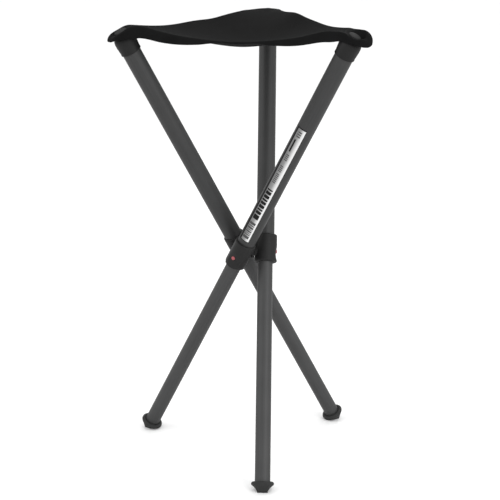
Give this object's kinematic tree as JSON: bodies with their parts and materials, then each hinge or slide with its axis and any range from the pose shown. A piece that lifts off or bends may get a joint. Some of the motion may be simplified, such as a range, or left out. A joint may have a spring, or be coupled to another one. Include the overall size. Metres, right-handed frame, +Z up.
{
  "type": "telescopic tripod stool",
  "caption": "Folding tripod stool: crossed telescopic legs turn on a central hub and lock out with push buttons, under a triangular sling seat of cloth with corner pockets.",
  "frame": {"origin": "on the floor, under the middle of the stool's box as it stands open", "axes": "+Z up, +X to the viewer's right and +Y away from the viewer of the picture, to within about two degrees"},
  "size_m": [0.3366, 0.357, 0.5989],
  "materials": {
    "upper_aluminium": "dark satin anodised",
    "lower_aluminium": "satin anodised",
    "black_plastic": "moulded, fine grain",
    "grey_plastic": "moulded, matt",
    "red_plastic": "moulded, satin",
    "glide_plastic": "moulded, slippery",
    "steel": "plain",
    "black_rubber": "matt",
    "black_cloth": "coated woven polyester",
    "silver_label": "silver film, bare"
  },
  "bodies": {
    "hub": {"hub_core": "black_plastic", "pivot_pin_a": "steel", "pivot_pin_b": "steel", "pivot_pin_c": "steel", "seat_fabric": "black_cloth"},
    "leg_a": {"sleeve_a": "black_plastic", "upper_tube_a": "upper_aluminium", "seat_cap_a": "black_plastic", "cap_plug_a": "grey_plastic", "height_label": "silver_label"},
    "lower_leg_a": {"lower_tube_a": "lower_aluminium", "glide_plug_a": "glide_plastic", "snap_spring_a": "steel", "foot_a": "black_rubber"},
    "button_a": {"lock_button_a": "red_plastic"},
    "leg_b": {"sleeve_b": "black_plastic", "upper_tube_b": "upper_aluminium", "seat_cap_b": "black_plastic", "cap_plug_b": "grey_plastic"},
    "lower_leg_b": {"lower_tube_b": "lower_aluminium", "glide_plug_b": "glide_plastic", "snap_spring_b": "steel", "foot_b": "black_rubber"},
    "button_b": {"lock_button_b": "red_plastic"},
    "leg_c": {"sleeve_c": "black_plastic", "upper_tube_c": "upper_aluminium", "seat_cap_c": "black_plastic", "cap_plug_c": "grey_plastic"},
    "lower_leg_c": {"lower_tube_c": "lower_aluminium", "glide_plug_c": "glide_plastic", "snap_spring_c": "steel", "foot_c": "black_rubber"},
    "button_c": {"lock_button_c": "red_plastic"}
  },
  "joints": [
    {"name": "fold_a", "type": "hinge", "parent": "hub", "child": "leg_a", "pos_m": [-0.00209, -0.03306, 0.2834], "axis": [-0.5, -0.866, 0], "range_deg": [0, 29], "deforming": ["seat_fabric"]},
    {"name": "fold_b", "type": "hinge", "parent": "hub", "child": "leg_b", "pos_m": [0.03271, -0.01297, 0.2834], "axis": [1, 0, 0], "range_deg": [0, 29]},
    {"name": "fold_c", "type": "hinge", "parent": "hub", "child": "leg_c", "pos_m": [-0.00209, 0.00712, 0.2834], "axis": [-0.5, 0.866, 0], "range_deg": [0, 29]},
    {"name": "leg_slide_a", "type": "slide", "parent": "leg_a", "child": "lower_leg_a", "axis": [0.4199, -0.2424, 0.8746], "range_m": [0, 0.29], "deforming": ["snap_spring_a"]},
    {"name": "leg_slide_b", "type": "slide", "parent": "leg_b", "child": "lower_leg_b", "axis": [0, 0.4848, 0.8746], "range_m": [0, 0.29], "deforming": ["snap_spring_b"]},
    {"name": "leg_slide_c", "type": "slide", "parent": "leg_c", "child": "lower_leg_c", "axis": [-0.4199, -0.2424, 0.8746], "range_m": [0, 0.29], "deforming": ["snap_spring_c"]},
    {"name": "button_press_a", "type": "slide", "parent": "leg_a", "child": "button_a", "axis": [0.5, 0.866, 0], "range_m": [0, 0.0019], "stiffness_N_per_m": 1500, "springref_m": -0.002},
    {"name": "button_press_b", "type": "slide", "parent": "leg_b", "child": "button_b", "axis": [-1, 0, 0], "range_m": [0, 0.0019], "stiffness_N_per_m": 1500, "springref_m": -0.002},
    {"name": "button_press_c", "type": "slide", "parent": "leg_c", "child": "button_c", "axis": [0.5, -0.866, 0], "range_m": [0, 0.0019], "stiffness_N_per_m": 1500, "springref_m": -0.002}
  ],
  "couplings": [
    {"joint": "fold_b", "follows": "fold_a", "ratio": 1},
    {"joint": "fold_c", "follows": "fold_a", "ratio": 1}
  ]
}
